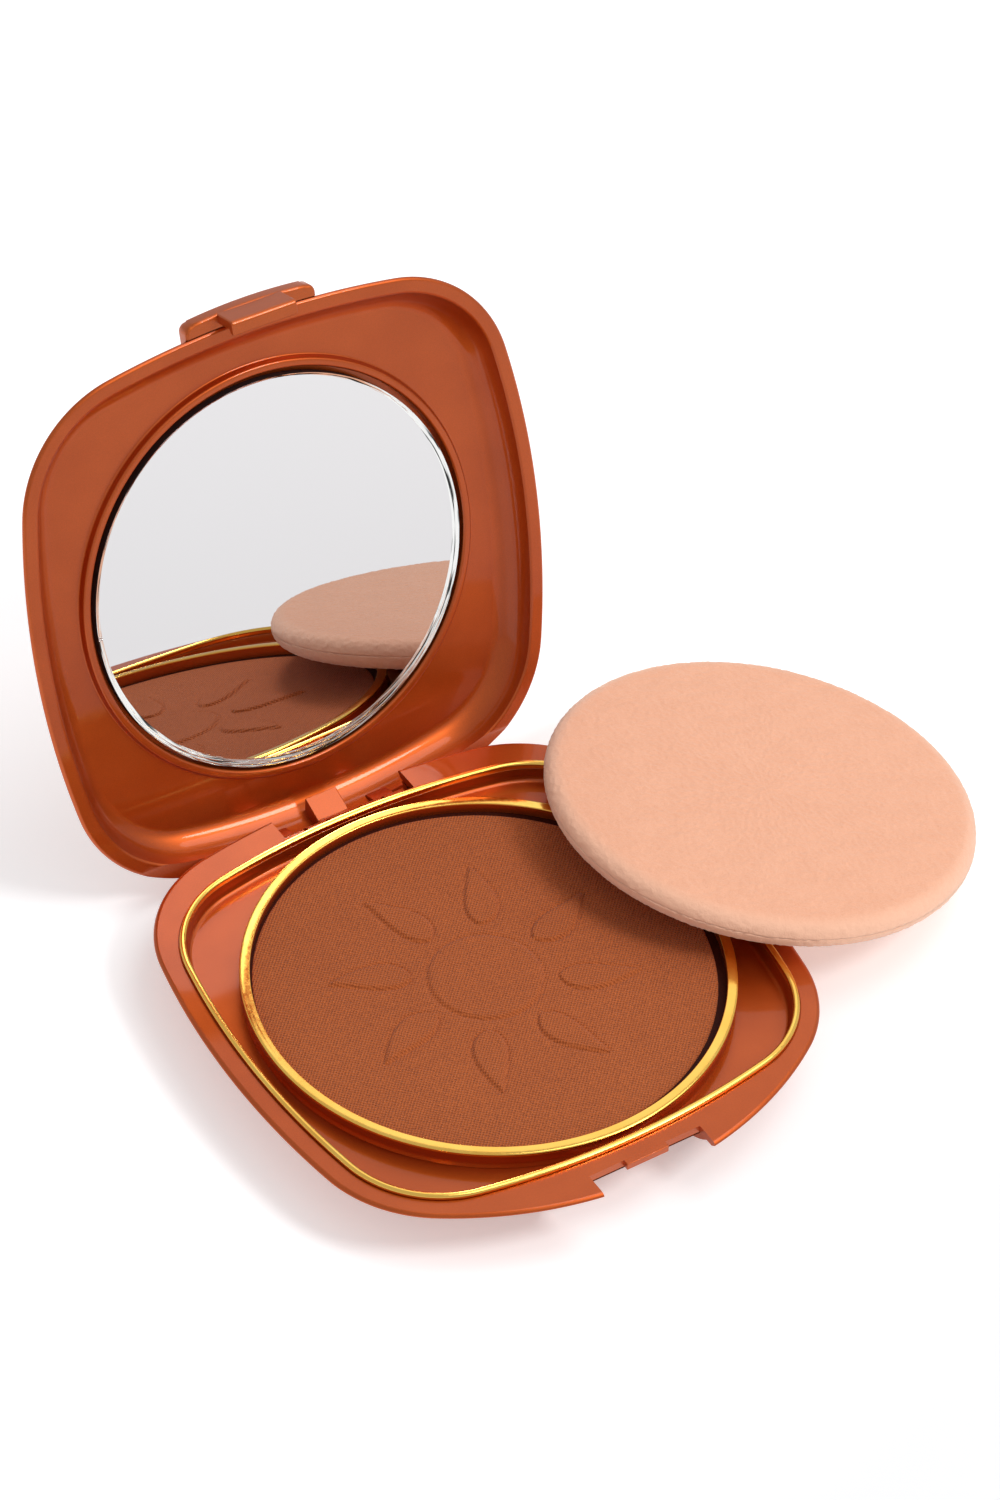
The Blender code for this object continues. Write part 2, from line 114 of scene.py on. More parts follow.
# Hinge: a pin along X, five knuckles, the notch in the base that clears the lid's arms, and
# the hollow in the lid that clears the base as the lid swings.
HINGE_Y = 34.0
HINGE_Z = 5.8
KNUCKLE_RADIUS = 1.3
KNUCKLE_BEVEL = 0.12
BORE_RADIUS = 0.7
MIDDLE_ARM_HALF = 2.3
EAR_NEAR, EAR_FAR = 2.7, 5.6
ARM_NEAR, ARM_FAR = 6.0, 9.1
NOTCH_HALF = 9.6
SWING_RADIUS = 4.45

# Where cutting blocks end, beyond every outline.
CLEAR = 45.0

# Puff, as drawn over the powder.
PUFF_RADIUS = 28.3
PUFF_THICKNESS = 4.5
PUFF_UNDERSIDE_Z = 9.35
PILE_SIZE = 0.5
PILE_DEPTH = 0.10
# How wide the painted sheen on the puff's rim is, and over what width it fades in.
PAINTED_SHEEN_RIM = 2.6
PAINTED_SHEEN_BLEND = 2.4

# Floor and sky: which way the floor is darkened by painted shade, over what distance and how far,
# then the glow.
FLOOR_WAY = (0.43, -0.90, 0.0)
FLOOR_FADE = 0.08
FLOOR_PAINTED_SHADE = 0.26
FLOOR_GLOW = 0.36
SKY_STRENGTH = 0.56

# Lights: name, place, width and power in watts.
LIGHTS = (
    ("key", (0.55, -0.05, 0.50), 0.70, 0.15),
    ("front", (0.34, -0.42, 0.64), 0.24, 2.4),
    ("top", (0.30, -0.04, 0.72), 0.42, 1.18),
    ("back", (0.33, 0.48, 0.55), 0.50, 0.38),
)
LIGHT_TARGET = Vector((0.0, 0.0, 0.02))

# Camera.
AZIMUTH = math.radians(-34.91)
ELEVATION = math.radians(43.04)
ROLL = math.radians(3.23)
CAMERA_PLACE = Vector((-242.91, -347.75, 442.15)) * MM
LENS = 117.2
SENSOR_WIDTH = 36.0

# Sockets of the colour Mix node: factor, first colour and second colour, then the result.
MIX_INPUTS = (0, 6, 7)
MIX_RESULT = 2


# -- Where the bodies rest ----------------------------------------------------

joints = {joint["name"]: joint for joint in frame["joints"]}


def at_rest(joint_name):
    """The turn that takes a piece from its closed or stowed place to its rest place."""
    joint = joints[joint_name]
    pivot = Vector(joint["pos_m"])
    turn = Matrix.Rotation(-math.radians(joint["range_deg"][1]), 4, Vector(joint["axis"]))
    return Matrix.Translation(pivot) @ turn @ Matrix.Translation(-pivot)


PLACES = {
    "base": Matrix.Identity(4),
    "lid": at_rest("lid_hinge"),
    "puff": at_rest("puff_stow"),
}


# -- Shapes -------------------------------------------------------------------


def quarter(half_x, side_radius, half_y, end_radius, corner_radius):
    """One quarter of a rounded square, as rows of arc centre, direction and radius."""
    side = np.array([half_x - side_radius, 0.0])
    end = np.array([0.0, half_y - end_radius])
    reach_side, reach_end = side_radius - corner_radius, end_radius - corner_radius
    apart = np.linalg.norm(end - side)
    along = (reach_side**2 - reach_end**2 + apart**2) / (2 * apart)
    off = math.sqrt(reach_side**2 - along**2)
    way = (end - side) / apart
    normal = np.array([way[1], -way[0]])
    hits = [side + way * along + normal * sign * off for sign in (1, -1)]
    corner = max(hits, key=sum)
    first = math.atan2(*(corner - side)[::-1])
    second = math.atan2(*(corner - end)[::-1])
    arcs = (
        (side, side_radius, 0.0, first, ARC_STEPS[0]),
        (corner, corner_radius, first, second, ARC_STEPS[1]),
        (end, end_radius, second, math.pi / 2, ARC_STEPS[2]),
    )
    rows = []
    for centre, radius, start, stop, steps in arcs:
        for step in range(steps):
            angle = start + (stop - start) * step / steps
            rows.append((*centre, math.cos(angle), math.sin(angle), radius))
    rows.append((*end, 0.0, 1.0, end_radius))
    return np.array(rows)


def rounded_square(half_x, side_radius, back, back_radius, front, front_radius, corner):
    """A whole outline, counter-clockwise from +X."""
    rear = quarter(half_x, side_radius, back, back_radius, corner)
    fore = quarter(half_x, side_radius, front, front_radius, corner)
    flip_x = np.array([-1, 1, -1, 1, 1])
    flip_y = np.array([1, -1, 1, -1, 1])
    return np.vstack(
        [rear, (rear * flip_x)[-2::-1], (fore * flip_x * flip_y)[1:], (fore * flip_y)[-2:0:-1]]
    )


def inset(shape, distance, z):
    """The outline moved inwards, at height z."""
    reach = shape[:, 4:5] - distance
    points = shape[:, 0:2] + shape[:, 2:4] * reach
    return np.column_stack([points, np.full(len(points), z)])


def round_in(shape, radius, z, y=0.0):
    """A circle with one point in line with each point of the outline."""
    points = shape[:, 0:2] + shape[:, 2:4] * shape[:, 4:5]
    points = points / np.linalg.norm(points, axis=1, keepdims=True) * radius
    return np.column_stack([points[:, 0], points[:, 1] + y, np.full(len(points), z)])


def circle(radius, z, y=0.0, steps=256):
    """A circle about the Z axis, or about a line parallel to it."""
    angles = np.arange(steps) * math.tau / steps
    return np.column_stack(
        [radius * np.cos(angles), radius * np.sin(angles) + y, np.full(steps, z)]
    )


def soften(rings, cuts, steps=5, tube=False):
    """Rounds each ring's edge: its corner becomes a curve that starts cut mm to each side."""
    count = len(rings)
    made = []
    for here, (ring, cut) in enumerate(zip(rings, cuts)):
        at_end = not tube and here in (0, count - 1)
        if at_end or cut == 0:
            made.append(ring)
            continue
        before = rings[here - 1] - ring
        after = rings[(here + 1) % count] - ring
        reach_before = np.linalg.norm(before, axis=1, keepdims=True)
        reach_after = np.linalg.norm(after, axis=1, keepdims=True)
        length = np.minimum(cut, 0.48 * np.minimum(reach_before, reach_after))
        start = ring + before / reach_before * length
        stop = ring + after / reach_after * length
        for t in np.linspace(0.0, 1.0, steps + 1):
            made.append((1 - t) ** 2 * start + 2 * t * (1 - t) * ring + t**2 * stop)
    return made


def skin(name, rings, tube=False):
    """A closed solid through the rings: capped at both ends, or a closed tube."""
    bm = bmesh.new()
    loops = [[bm.verts.new(point * MM) for point in ring] for ring in rings]
    pairs = list(zip(loops, loops[1:]))
    if tube:
        pairs.append((loops[-1], loops[0]))
    else:
        bm.faces.new(loops[0])
        bm.faces.new(loops[-1])
    for low, high in pairs:
        for here in range(len(low)):
            there = (here + 1) % len(low)
            bm.faces.new((low[here], low[there], high[there], high[here]))
    bmesh.ops.recalc_face_normals(bm, faces=bm.faces)
    mesh = bpy.data.meshes.new(name)
    bm.to_mesh(mesh)
    bm.free()
    obj = bpy.data.objects.new(name, mesh)
    bpy.context.scene.collection.objects.link(obj)
    return obj


def prism(name, profile, x_low, x_high, bevel=0.0):
    """A profile of (y, z) points drawn out along X, with its edges bevelled."""
    rings = [np.array([(x, y, z) for y, z in profile]) for x in (x_low, x_high)]
    obj = skin(name, rings)
    if bevel:
        round_edges(obj, bevel)
    return obj


def block(name, low, high, bevel=0.0):
    """A box between two opposite corners."""
    (x0, y0, z0), (x1, y1, z1) = low, high
    return prism(name, [(y0, z0), (y1, z0), (y1, z1), (y0, z1)], x0, x1, bevel)


def round_edges(obj, width, angle=25.0):
    """Bevels the mesh's own edges that are sharper than the angle."""
    bm = bmesh.new()
    bm.from_mesh(obj.data)
    limit = math.radians(angle)
    sharp = [e for e in bm.edges if e.is_manifold and e.calc_face_angle() > limit]
    bmesh.ops.bevel(
        bm,
        geom=sharp,
        offset=width * MM,
        segments=3,
        profile=0.5,
        affect="EDGES",
        clamp_overlap=True,
    )
    bm.to_mesh(obj.data)
    bm.free()


def round_pin(radius, angles):
    """Profile points of (y, z) at a distance from the hinge pin."""
    return [(HINGE_Y + radius * math.cos(a), HINGE_Z + radius * math.sin(a)) for a in angles]


def rod(name, radius, half_length, steps=64):
    """A round bar along the hinge axis."""
    angles = [math.tau * step / steps for step in range(steps)]
    return prism(name, round_pin(radius, angles), -half_length, half_length)


def combine(obj, tools, operation):
    """Cuts the tools out of the piece, or adds them to it, and uses them up."""
    for tool in tools:
        boolean = obj.modifiers.new(tool.name, "BOOLEAN")
        boolean.operation = operation
        boolean.solver = "EXACT"
        boolean.object = tool
    graph = bpy.context.evaluated_depsgraph_get()
    made = bpy.data.meshes.new_from_object(obj.evaluated_get(graph))
    obj.modifiers.clear()
    obj.data = made
    for tool in tools:
        bpy.data.objects.remove(tool)


def smooth(obj, angle=40.0):
    """Smooth shading up to the angle, with normals led by the larger faces."""
    obj.data.shade_smooth()
    obj.data.set_sharp_from_angle(angle=math.radians(angle))
    weighted = obj.modifiers.new("weighted_normals", "WEIGHTED_NORMAL")
    weighted.keep_sharp = True
    weighted.weight = 60


def settle(obj, body, finish, slot, *nodes):
    """Places a finished piece on its body, with its material, for the CAD nodes it stands for."""
    obj.data.transform(PLACES[body])
    obj.data.materials.clear()
    obj.data.materials.append(finish)
    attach(obj, body)
    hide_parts(*nodes)


# -- Materials ----------------------------------------------------------------


class Finish:
    """A Principled material with short ways to add its nodes."""

    def __init__(self, name, **sockets):
        self.material = bpy.data.materials.new(name)
        self.material.use_nodes = True
        self.tree = self.material.node_tree
        self.shader = self.tree.nodes["Principled BSDF"]
        self.place = self.tree.nodes.new("ShaderNodeTexCoord").outputs["Object"]
        for key, value in sockets.items():
            self.shader.inputs[key.replace("_", " ")].default_value = value

    def link(self, output, socket):
        self.tree.links.new(output, socket)

    def node(self, kind, **settings):
        made = self.tree.nodes.new(kind)
        for key, value in settings.items():
            setattr(made, key, value)
        return made

    def noise(self, size, detail=2.0, roughness=0.5, stretch=(1.0, 1.0, 1.0)):
        """Noise whose features are about size mm across."""
        mapping = self.node("ShaderNodeMapping")
        mapping.inputs["Scale"].default_value = [s / (size * MM) for s in stretch]
        self.link(self.place, mapping.inputs["Vector"])
        texture = self.node("ShaderNodeTexNoise")
        texture.inputs["Scale"].default_value = 1.0
        texture.inputs["Detail"].default_value = detail
        texture.inputs["Roughness"].default_value = roughness
        self.link(mapping.outputs["Vector"], texture.inputs["Vector"])
        return texture.outputs["Fac"]

    def ramp(self, factor, *stops):
        """A colour ramp of (position, colour) stops."""
        ramp = self.node("ShaderNodeValToRGB")
        elements = ramp.color_ramp.elements
        while len(elements) < len(stops):
            elements.new(0.5)
        for element, (position, colour) in zip(elements, stops):
            element.position = position
            element.color = (*colour, 1.0)
        self.link(factor, ramp.inputs["Fac"])
        return ramp.outputs["Color"]

    def spread(self, factor, low, high):
        """The factor's middle range, spread from low to high."""
        spread = self.node("ShaderNodeMapRange")
        spread.inputs["From Min"].default_value = 0.3
        spread.inputs["From Max"].default_value = 0.7
        spread.inputs["To Min"].default_value = low
        spread.inputs["To Max"].default_value = high
        self.link(factor, spread.inputs["Value"])
        return spread.outputs["Result"]

    def math(self, operation, *values):
        """A Math node on numbers or outputs."""
        made = self.node("ShaderNodeMath", operation=operation)
        for socket, value in zip(made.inputs, values):
            if isinstance(value, (int, float)):
                socket.default_value = value
            else:
                self.link(value, socket)
        return made.outputs["Value"]

    def mix(self, factor, first, second, blend="MIX"):
        """A colour Mix node on numbers, colours or outputs."""
        made = self.node("ShaderNodeMix", data_type="RGBA", blend_type=blend)
        for socket, value in zip(MIX_INPUTS, (factor, first, second)):
            if isinstance(value, (int, float)):
                made.inputs[socket].default_value = value
            elif isinstance(value, tuple):
                made.inputs[socket].default_value = (*value, 1.0)
            else:
                self.link(value, made.inputs[socket])
        return made.outputs[MIX_RESULT]

    def bump(self, height, depth):
        """A bump of depth mm."""
        bump = self.node("ShaderNodeBump")
        bump.inputs["Strength"].default_value = 1.0
        bump.inputs["Distance"].default_value = depth * MM
        self.link(height, bump.inputs["Height"])
        return bump.outputs["Normal"]

    def set(self, **outputs):
        """Links the shader's sockets, and gives the finished material."""
        for key, output in outputs.items():
            self.link(output, self.shader.inputs[key.replace("_", " ")])
        return self.material


def pearl_bronze(name, light, dark, roughness, coat_roughness):
    """Burnt orange metallic body with a fine pearl in it, under a clear lacquer."""
    finish = Finish(name, Metallic=0.88, Coat_Weight=0.50, Coat_Roughness=coat_roughness)
    pearl = finish.noise(0.14, detail=1.0)
    cloud = finish.noise(8.0, detail=2.0)
    colour = finish.ramp(cloud, (0.35, dark), (0.65, light))
    speck = finish.ramp(pearl, (0.3, (0.86, 0.86, 0.86)), (0.7, (1.0, 1.0, 1.0)))
    orange_peel = finish.noise(3.0, detail=1.0)
    return finish.set(
        Base_Color=finish.mix(1.0, colour, speck, "MULTIPLY"),
        Roughness=finish.spread(pearl, roughness - 0.04, roughness + 0.04),
        Normal=finish.bump(orange_peel, 0.004),
    )


def gold_trim():
    """Polished gold, with faint drawing lines and a slight change of tone."""
    finish = Finish("gold_trim", Metallic=1.0)
    tone = finish.noise(6.0)
    lines = finish.noise(0.5, detail=2.0, stretch=(1.0, 1.0, 6.0))
    return finish.set(
        Base_Color=finish.ramp(tone, (0.3, (0.97, 0.54, 0.10)), (0.7, (1.0, 0.63, 0.14))),
        Roughness=finish.spread(lines, 0.10, 0.19),
        Normal=finish.bump(finish.noise(1.4), 0.012),
    )


def pressed_powder():
    """Pressed bronzing powder with the fine mark of the cloth it was pressed through, its grooves
    also darkened with painted shade.
    """
    finish = Finish(
        "pressed_powder", Specular_IOR_Level=0.25, Sheen_Weight=0.10, Sheen_Roughness=0.5
    )
    split = finish.node("ShaderNodeSeparateXYZ")
    finish.link(finish.place, split.inputs["Vector"])
    pitch = math.tau / (0.52 * MM)
    drift = finish.spread(finish.noise(1.6), -0.7, 0.7)
    threads = []
    for axis in ("X", "Y"):
        phase = finish.math("ADD", finish.math("MULTIPLY", split.outputs[axis], pitch), drift)
        threads.append(finish.math("SINE", phase))
    weave = finish.math("MULTIPLY_ADD", finish.math("MULTIPLY", *threads), 0.5, 0.5)
    grain = finish.noise(0.22, detail=3.0, roughness=0.65)
    cloud = finish.noise(9.0, detail=2.0)
    # The colour's shade: painted shade in the weave's grooves, with the grain and cloud as tone.
    shade = finish.math("MULTIPLY", weave, 0.24)
    for part, share in ((grain, 0.68), (cloud, 0.08)):
        shade = finish.math("ADD", shade, finish.math("MULTIPLY", part, share))
    cloth = finish.math("MULTIPLY", weave, 1.5)
    relief = finish.math("ADD", cloth, finish.math("MULTIPLY", grain, 1.6))
    return finish.set(
        Base_Color=finish.ramp(shade, (0.30, (0.30, 0.062, 0.013)), (0.70, (0.62, 0.150, 0.034))),
        Roughness=finish.spread(grain, 0.78, 0.95),
        Normal=finish.bump(relief, 0.10),
    )


def velour():
    """Short dense pile: a rim lightened by painted sheen, soft edges, and a faint brushing this
    way and that.
    """
    finish = Finish(
        "puff_velour",
        Roughness=1.0,
        Specular_IOR_Level=0.1,
        Sheen_Weight=0.8,
        Sheen_Roughness=0.45,
        Sheen_Tint=(1.0, 0.84, 0.73, 1.0),
    )
    pile = finish.noise(0.24, detail=3.0, roughness=0.7)
    brushed = finish.noise(5.0, detail=3.0, stretch=(1.0, 2.0, 1.0))
    colour = finish.mix(
        0.35,
        finish.ramp(brushed, (0.35, (0.89, 0.435, 0.275)), (0.65, (0.93, 0.465, 0.298))),
        finish.ramp(pile, (0.25, (0.78, 0.35, 0.21)), (0.75, (1.0, 0.57, 0.38))),
    )
    # Painted sheen: the stored rim value lightens the colour towards the puff's edge.
    rim = finish.node("ShaderNodeAttribute", attribute_name="rim").outputs["Fac"]
    colour = finish.mix(finish.math("MULTIPLY", rim, 0.5), colour, (0.98, 0.62, 0.45))
    return finish.set(Base_Color=colour, Normal=finish.bump(pile, 0.10))


def silver_mirror():
    """Silvered glass with a trace of haze."""
    finish = Finish("mirror_silver", Metallic=1.0, Base_Color=(0.755, 0.74, 0.745, 1.0))
    haze = finish.noise(12.0)
    return finish.set(Roughness=finish.spread(haze, 0.0, 0.012))


def mirror_bevel():
    """Ground edge of the mirror, with marks that run round the rim: a bump of fine polishing
    lines, and painted reflection in dark and bright bands of colour.
    """
    finish = Finish("mirror_bevel", Metallic=1.0)
    finish.place = finish.node("ShaderNodeUVMap", uv_map="round_the_rim").outputs["UV"]
    painted_reflection_streaks = finish.noise(1.0, detail=2.0, stretch=(0.14, 3.0, 1.0))
    fine = finish.noise(0.3, detail=1.0, stretch=(0.1, 1.0, 1.0))
    return finish.set(
        # Painted reflection: this noise colours the ground rim near black and near white, and
        # also bumps it.
        Base_Color=finish.ramp(painted_reflection_streaks, (0.36, (0.03, 0.03, 0.03)), (0.46, (0.88, 0.88, 0.86))),
        Roughness=finish.spread(fine, 0.04, 0.12),
        Normal=finish.bump(painted_reflection_streaks, 0.06),
    )


def mirror_backing_and_gap_shade():
    """Black paint on the mirror's edge and back; on the edge its near black also stands in as
    painted shade for the gap round the mirror.
    """
    finish = Finish("mirror_backing_and_gap_shade", Base_Color=(0.012, 0.011, 0.012, 1.0))
    return finish.set(Roughness=finish.spread(finish.noise(1.0), 0.4, 0.6))


def painted_shade_bronze():
    """Ledge between the powder and its collar, painted near black as shade."""
    finish = Finish("seat_painted_shade", Specular_IOR_Level=0.1)
    grain = finish.noise(0.3)
    return finish.set(
        Base_Color=finish.ramp(grain, (0.3, (0.030, 0.004, 0.002)), (0.7, (0.052, 0.008, 0.003))),
        Roughness=finish.spread(grain, 0.5, 0.7),
    )


def plain_finishes():
    """Materials of the CAD nodes that stay as they are, mostly out of sight."""
    pan = Finish("pan_metal", Metallic=1.0, Base_Color=(0.75, 0.75, 0.76, 1.0))
    pan.set(Roughness=pan.spread(pan.noise(0.8, stretch=(1.0, 8.0, 1.0)), 0.25, 0.42))
    glue = Finish("glue", Base_Color=(0.85, 0.82, 0.70, 1.0), Transmission_Weight=0.3)
    glue.set(Roughness=glue.spread(glue.noise(2.0), 0.3, 0.6))
    steel = Finish("pin_steel", Metallic=1.0, Base_Color=(0.62, 0.62, 0.64, 1.0))
    steel.set(Roughness=steel.spread(steel.noise(0.3, stretch=(0.1, 1.0, 1.0)), 0.15, 0.35))
    tape = Finish("foam_tape", Base_Color=(0.88, 0.88, 0.86, 1.0))
    foam = tape.noise(0.2)
    tape.set(Roughness=tape.spread(foam, 0.7, 0.9), Normal=tape.bump(foam, 0.05))
    for node, finish in (
        ("powder_pan", pan),
        ("pan_glue", glue),
        ("hinge_pin", steel),
        ("mirror_tape", tape),
    ):
        mesh = frame["nodes"][node].data
        mesh.materials.clear()
        mesh.materials.append(finish.material)


# -- Base ---------------------------------------------------------------------


def finger_scoop(name, wall, bottom):
    """Wedge cut under the latch recess, leaning in below the rim, with room for a wall."""
    back = LATCH_WALL_Y + wall
    foot = back + (SCOOP_TOP_Z - bottom) * SCOOP_LEAN
    above = SCOOP_TOP_Z + 1.0
    profile = [
        (-CLEAR, bottom),
        (foot, bottom),
        (back, SCOOP_TOP_Z),
        (back, above),
        (-CLEAR, above),
    ]
    return prism(name, profile, -SCOOP_HALF - wall, SCOOP_HALF + wall)


def make_base_shell(finish):
    """Domed lower shell, hollow under the tray. Its sections are points of (inset, z)."""
    shape = rounded_square(*BASE)
    outside = ((11.0, 0.0), (8.0, 0.6), (5.0, 2.2), (1.05, 6.95))
    inside = ((9.0, 1.2), (6.4, 2.4), (2.35, 6.95), (1.9, 7.5))
    shell = skin("shell", soften([inset(shape, *at) for at in outside], (0, 1.4, 2.6, 0), 8))
    hollow = skin("shell_hollow", [inset(shape, *at) for at in inside])
    combine(hollow, [finger_scoop("scoop_wall", 0.9, 1.1)], "DIFFERENCE")
    notch = block("shell_notch", (-NOTCH_HALF, 32.4, 3.6), (NOTCH_HALF, CLEAR, 8.0))
    combine(shell, [finger_scoop("scoop", 0.0, -1.0), hollow, notch], "DIFFERENCE")
    smooth(shell)
    settle(shell, "base", finish, "bronze_plastic", "base_shell")


def tray_section():
    """The tray's section as rings, each with how far its edge is rounded."""
    rim = rounded_square(*BASE)
    bead = rounded_square(*BEAD)
    seat = BEAD_HALF + 0.12
    return (
        (round_in(rim, 29.3, 3.35), 0),
        (round_in(rim, 30.5, 4.55), 0.3),
        (round_in(rim, 30.5, FLOOR_Z - 1.0), 0.2),
        (inset(bead, 1.0, FLOOR_Z - 1.0), 0.3),
        (inset(bead, -BEAD_HALF, 6.7), 0.2),
        (inset(bead, -BEAD_HALF, RIM_Z - 1.05), 0.2),
        (inset(rim, 0.8, RIM_Z - 1.05), 0.1),
        (inset(rim, 0.03, RIM_Z - 0.42), 0.25),
        (inset(rim, 0.45, RIM_Z - 0.03), 0.3),
        (inset(bead, -seat, RIM_Z), 0.05),
        (inset(bead, -seat, RIM_Z - 0.2), 0.04),
        (inset(bead, BEAD_HALF, RIM_Z - 0.2), 0.08),
        (inset(bead, BEAD_HALF + 0.15, 7.0), 0.2),
        (inset(bead, 0.8, 6.45), 0.35),
        (inset(bead, 1.15, FLOOR_Z), 0.25),
        (round_in(rim, 29.9, FLOOR_Z), 0.1),
        (round_in(rim, 29.9, 4.9), 0.2),
        (round_in(rim, 29.0, 4.15), 0),
    )


def ear(name, x_low, x_high):
    """A base knuckle: round about the pin, with a web forward to the tray's wall."""
    steps, web_y = 20, 31.83
    arc = [math.pi * (0.5 - step / steps) for step in range(steps + 1)]
    web = [(web_y, HINGE_Z - 0.1), (web_y, HINGE_Z + KNUCKLE_RADIUS)]
    return prism(name, round_pin(KNUCKLE_RADIUS, arc) + web, x_low, x_high, KNUCKLE_BEVEL)


def make_inner_tray(finish):
    """Tray with the latch recess and its nub in front, and the hinge's two ears behind."""
    rings, cuts = zip(*tray_section())
    tray = skin("tray", soften(rings, cuts, 4))
    notch = block("tray_notch", (-NOTCH_HALF, 32.95, 2.0), (NOTCH_HALF, CLEAR, 12.0))
    recess = block("recess", (-RECESS_HALF, -CLEAR, 2.0), (RECESS_HALF, LATCH_WALL_Y, 12.0))
    combine(tray, [notch, recess], "DIFFERENCE")
    nub = block("nub", (-3.0, -35.5, RIM_Z - 1.0), (3.0, -34.0, RIM_Z - 0.02), 0.08)
    ears = [ear("ear_left", -EAR_FAR, -EAR_NEAR), ear("ear_right", EAR_NEAR, EAR_FAR)]
    combine(tray, [nub, *ears], "UNION")
    combine(tray, [rod("tray_bore", BORE_RADIUS, NOTCH_HALF)], "DIFFERENCE")
    smooth(tray)
    settle(tray, "base", finish, "bronze_plastic", "inner_tray")


def make_bead(finish):
    """Gold bead that follows the inner edge of the rim band."""
    shape = rounded_square(*BEAD)
    half = BEAD_HALF
    section = (
        (inset(shape, -half, RIM_Z - 0.15), 0.05),
        (inset(shape, -half, BEAD_TOP_Z - 0.15), 0.3),
        (inset(shape, 0.0, BEAD_TOP_Z), 0.2),
        (inset(shape, half, BEAD_TOP_Z - 0.15), 0.3),
        (inset(shape, half, RIM_Z - 0.15), 0.05),
    )
    rings, cuts = zip(*section)
    bead = skin("gold_bead", soften(rings, cuts, 6, tube=True), tube=True)
    smooth(bead)
    settle(bead, "base", finish, "gold_trim", "tray_trim")


def make_collar(finish):
    """Gold cap round the powder, on top of a plain wall."""
    top = RING_TOP_Z
    section = (
        (circle(COLLAR_OUTSIDE, top - 0.50), 0.10),
        (circle(COLLAR_OUTSIDE, top - 0.08), 0.20),
        (circle(30.35, top), 0.30),
        (circle(COLLAR_INSIDE, top - 0.05), 0.12),
        (circle(COLLAR_INSIDE, top - 0.30), 0.05),
    )
    rings, cuts = zip(*section)
    collar = skin("gold_collar", soften(rings, cuts, 6, tube=True), tube=True)
    smooth(collar)
    settle(collar, "base", finish, "gold_trim", "pan_ring")


def make_collar_wall(finish):
    """Upstand that carries the gold cap and reaches up inside it."""
    low, high = FLOOR_Z + 0.03, RING_TOP_Z - 0.52
    section = (
        (circle(30.9, low), 0.03),
        (circle(30.6, low + 0.5), 0.3),
        (circle(30.6, high), 0.1),
        (circle(30.2, high + 0.2), 0),
        (circle(LEDGE_OUTSIDE, high + 0.2), 0),
        (circle(LEDGE_OUTSIDE, low), 0.03),
    )
    rings, cuts = zip(*section)
    wall = skin("collar_wall", soften(rings, cuts, 5, tube=True), tube=True)
    smooth(wall)
    settle(wall, "base", finish, "bronze_plastic", "pan_ring")


def make_seat(finish):
    """Ledge over the rim of the pan, painted near black as shade, seen where the powder stops
    short of the collar.
    """
    low, high = LEDGE_Z
    outer = [circle(LEDGE_OUTSIDE, z) for z in (low, high)]
    inner = [circle(LEDGE_INSIDE, z) for z in (high, low)]
    seat = skin("powder_seat", outer + inner, tube=True)
    smooth(seat)
    settle(seat, "base", finish, "bronze_plastic", "pan_ring")


# -- Powder -------------------------------------------------------------------


def smoothstep(value):
    """A smooth climb from 0 to 1."""
    value = np.clip(value, 0.0, 1.0)
    return value * value * (3 - 2 * value)


def groove(distance, depth, width):
    """A soft groove along the line where the distance is nought."""
    return depth * np.exp(-((distance / width) ** 2))


def sun_relief(x, y):
    """Height in mm of a plain sun: a low disc ringed by curved rays, each edged by a groove."""
    edge = SUN_RADIUS - np.hypot(x, y)
    height = 0.24 * smoothstep(edge / 0.6 + 0.5) - groove(edge, 0.20, 0.28)
    for number in range(RAYS):
        turn = math.tau * (number + 0.35) / RAYS
        along = x * math.cos(turn) + y * math.sin(turn)
        across = -x * math.sin(turn) + y * math.cos(turn)
        share = np.clip((along - RAY_START) / RAY_LENGTH, 0.0, 1.0)
        bend = 2.6 * share**2 - 1.5 * share
        half = RAY_HALF * np.sin(math.pi * share**0.72) ** 0.8 * (1 - 0.35 * share)
        on_ray = (share > 0) & (share < 1)
        inside = np.where(on_ray, half - np.abs(across - bend), -1.0)
        height += 0.30 * smoothstep(inside / 0.5 + 0.4)
        height -= groove(inside, 0.19, 0.26) * on_ray
    return height


def make_powder(finish):
    """Pressed cake with its relief in the mesh. Its top lies a little to the left."""
    steps, ring_count = 560, 170
    shoulder = POWDER_TOP_Z - 0.2
    shift = np.array(POWDER_SHIFT)
    edge = ((28.0, 5.4), (PAN_INSIDE, 6.0), (PAN_INSIDE, shoulder))
    rings = [circle(radius, z, steps=steps) for radius, z in edge]
    for z in (shoulder, POWDER_TOP_Z - 0.07):
        rings.append(circle(POWDER_RADIUS, z, steps=steps) + shift)
    for reach in np.linspace(POWDER_RADIUS - 0.1, 0.15, ring_count):
        ring = circle(reach, POWDER_TOP_Z, steps=steps)
        ring[:, 2] += sun_relief(ring[:, 0], ring[:, 1])
        rings.append(ring + shift)
    powder = skin("powder", rings)
    smooth(powder, 60.0)
    settle(powder, "base", finish, "pressed_powder", "powder_cake")


# -- Lid ----------------------------------------------------------------------


